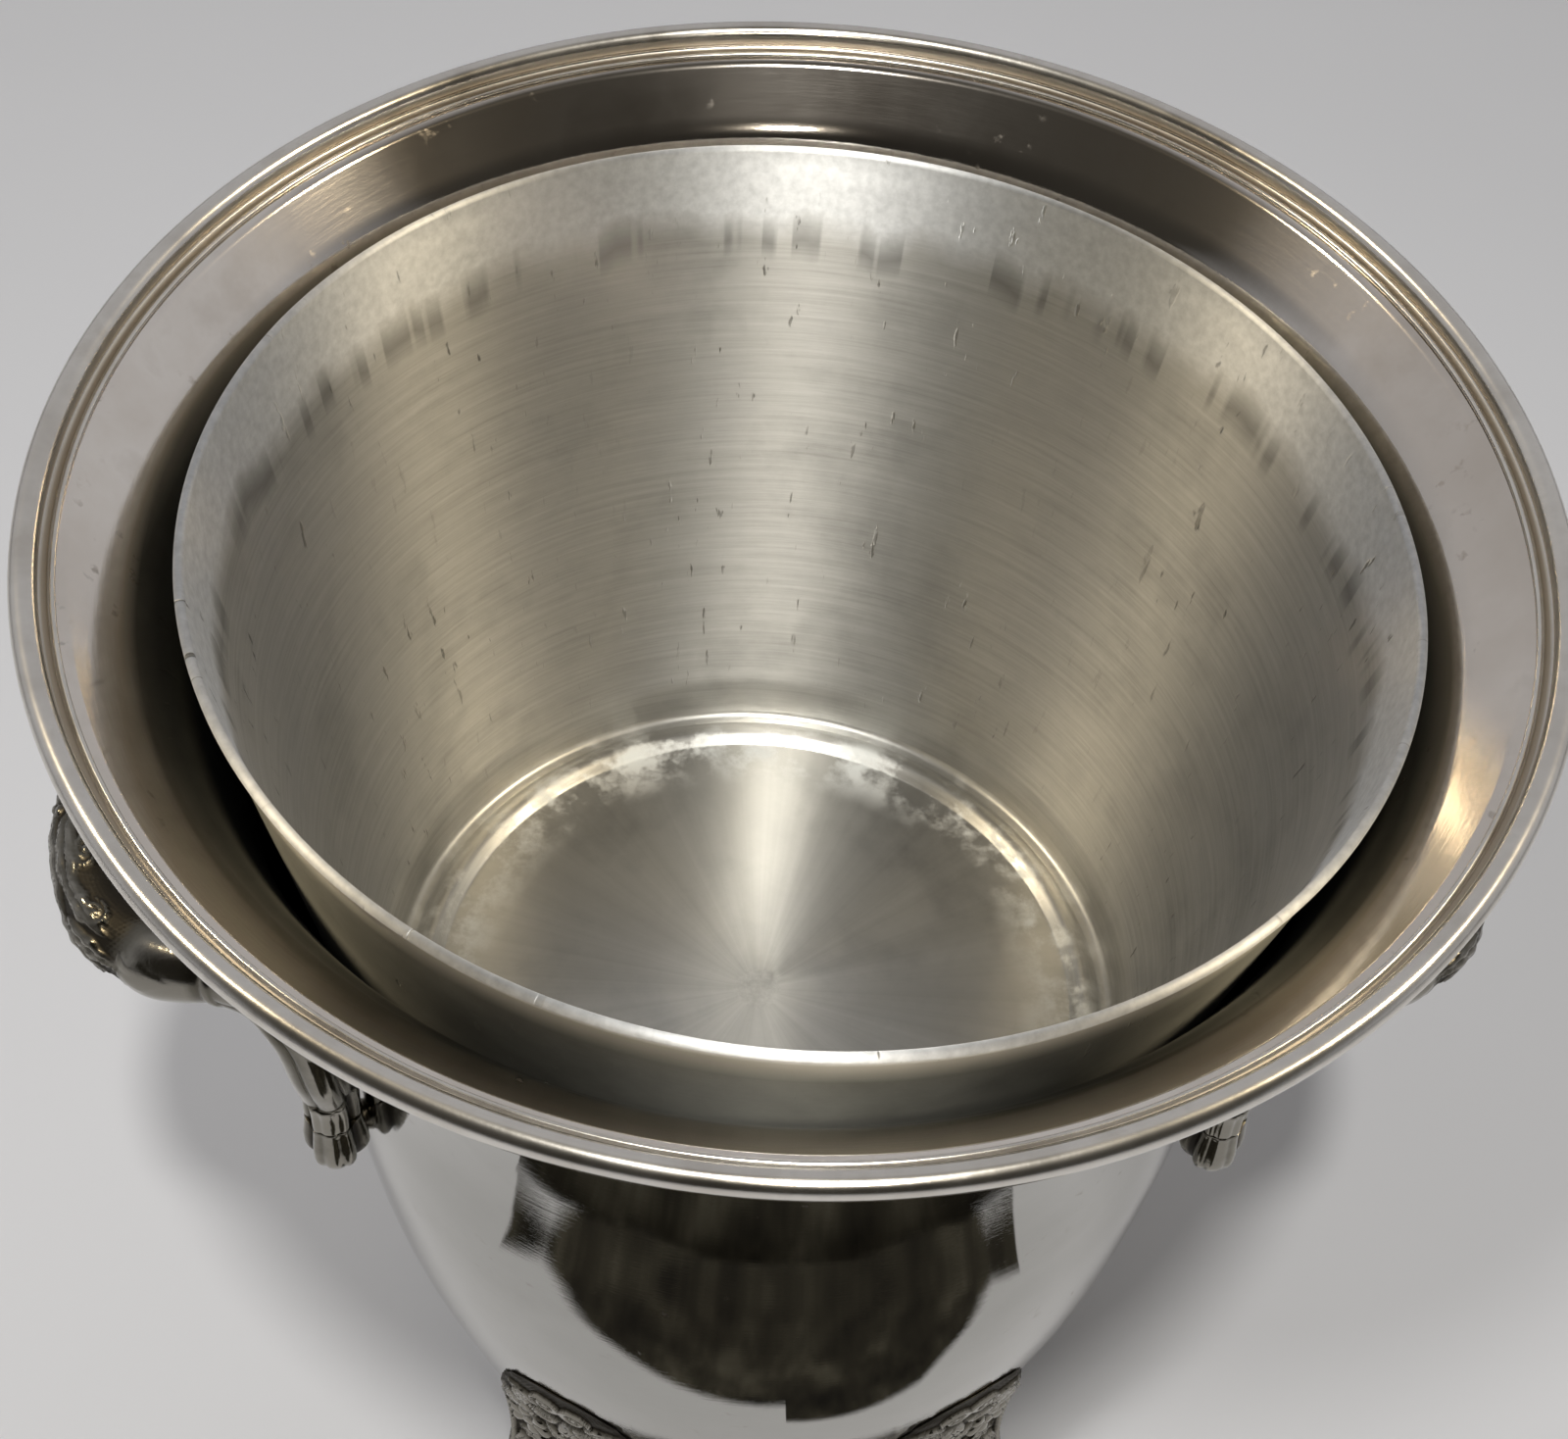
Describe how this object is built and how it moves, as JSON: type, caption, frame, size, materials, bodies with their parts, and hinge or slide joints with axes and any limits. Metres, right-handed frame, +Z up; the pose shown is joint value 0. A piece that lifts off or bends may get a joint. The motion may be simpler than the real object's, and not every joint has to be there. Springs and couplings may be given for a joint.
{
  "type": "champagne bucket",
  "caption": "Flared silver-plated champagne bucket with a loose metal liner, cast loop handles and cast bracket feet.",
  "frame": {"origin": "on the floor under the bucket's axis", "axes": "+Z up along the bucket's axis; the two handles lie along +X and -X; the feet stand between them"},
  "size_m": [0.281, 0.26, 0.2822],
  "materials": {
    "silver_plate": "polished silver plate on brass, lightly tarnished",
    "cast_silver": "cast and silver plated, dark in the recesses",
    "liner_metal": "satin, spun, with water marks",
    "steel": "satin"
  },
  "bodies": {
    "bucket": {"bucket_body": "silver_plate", "rim_bead": "silver_plate", "handle_left": "cast_silver", "handle_right": "cast_silver", "handle_bud_lf": "cast_silver", "handle_bud_lb": "cast_silver", "handle_bud_rf": "cast_silver", "handle_bud_rb": "cast_silver", "handle_studs": "steel", "handle_washers": "steel", "handle_nuts": "steel", "foot_lf": "cast_silver", "foot_lb": "cast_silver", "foot_rf": "cast_silver", "foot_rb": "cast_silver", "foot_studs": "steel", "foot_washers": "steel", "foot_nuts": "steel"},
    "liner": {"liner": "liner_metal"}
  },
  "joints": [
    {"name": "liner_lift", "type": "slide", "parent": "bucket", "child": "liner", "axis": [0, 0, 1], "range_m": [0, 0.16]}
  ]
}
